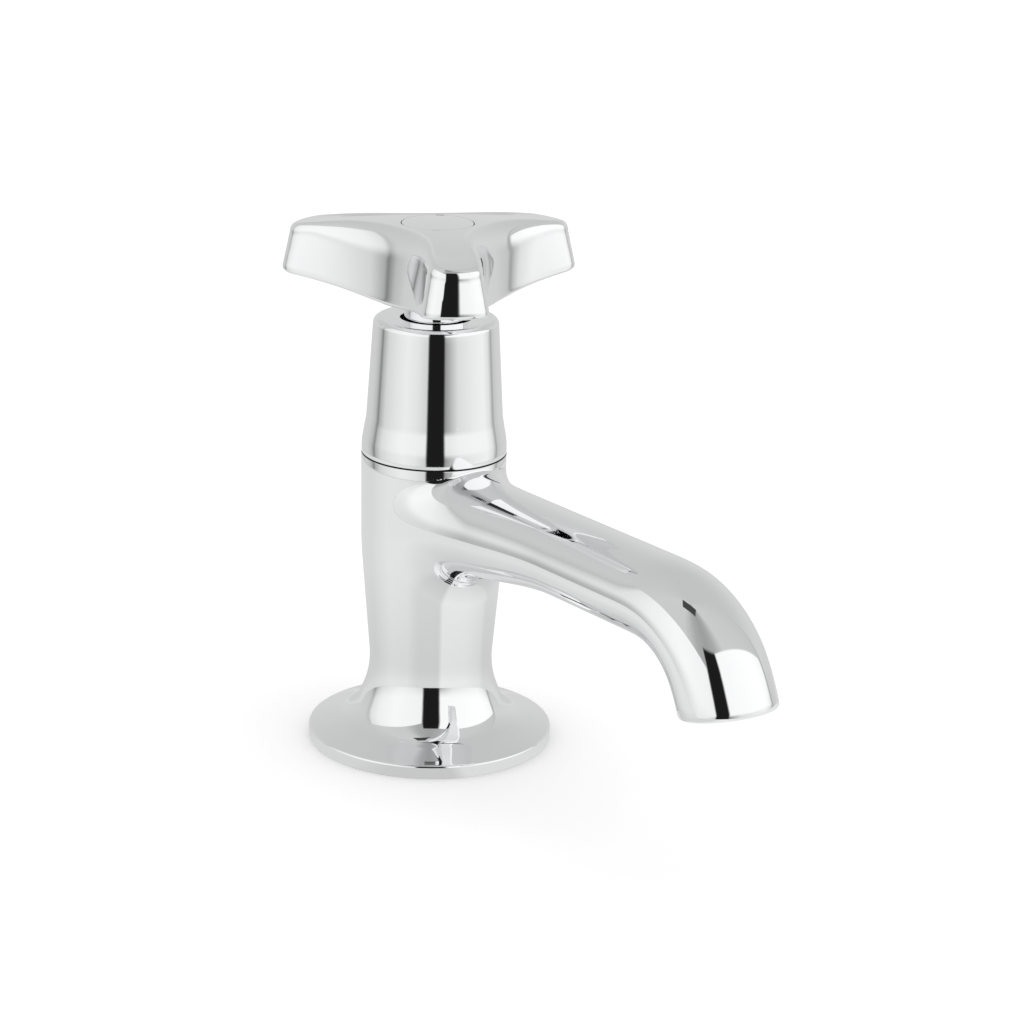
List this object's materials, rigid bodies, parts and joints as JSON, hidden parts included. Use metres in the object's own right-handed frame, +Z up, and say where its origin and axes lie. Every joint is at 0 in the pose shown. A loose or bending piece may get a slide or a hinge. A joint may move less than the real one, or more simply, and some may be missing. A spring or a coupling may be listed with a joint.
{
  "type": "basin pillar tap",
  "caption": "deck-mounted basin pillar tap with a three-armed turning handle, a bell cover, a curved spout and a screw-down valve inside",
  "frame": {"origin": "centre of the flange's underside, where the tap sits on the deck, on the tap's vertical axis", "axes": "+Z up along the tap's axis, -Y along the spout, +X to the right seen from the spout's outlet side (looking along +Y)"},
  "size_m": [0.0552, 0.125, 0.1538],
  "materials": {
    "chrome_body": "polished chrome plate",
    "chrome_cover": "polished chrome plate",
    "chrome_handle": "polished chrome plate",
    "chrome_index": "polished chrome plate, bare face",
    "brass": "turned brass",
    "steel": "stainless steel",
    "black_rubber": "matt moulded rubber",
    "red_fibre": "pressed fibre sheet",
    "nylon": "plain white nylon"
  },
  "bodies": {
    "tap_body": {"body_casting": "chrome_body", "base_seal": "black_rubber", "back_nut_washer": "black_rubber", "back_nut": "brass", "headwork_body": "brass", "headwork_washer": "red_fibre", "cover": "chrome_cover"},
    "handle_unit": {"handle": "chrome_handle", "handle_screw": "steel", "screw_washer": "steel", "index_button": "chrome_index", "index_o_ring": "black_rubber", "spindle": "brass", "thrust_washer": "nylon", "lower_o_ring": "black_rubber", "upper_o_ring": "black_rubber", "spindle_clip": "steel"},
    "valve_unit": {"valve_carrier": "brass", "tap_washer": "black_rubber", "washer_screw": "steel"}
  },
  "joints": [
    {"name": "handle_turn", "type": "hinge", "parent": "tap_body", "child": "handle_unit", "pos_m": [0, 0, 0.09], "axis": [0, 0, 1], "range_deg": [0, 900]},
    {"name": "valve_lift", "type": "slide", "parent": "tap_body", "child": "valve_unit", "axis": [0, 0, 1], "range_m": [0, 0.005]}
  ],
  "couplings": [
    {"joint": "valve_lift", "follows": "handle_turn", "m_per_rad": 0.00031831}
  ]
}
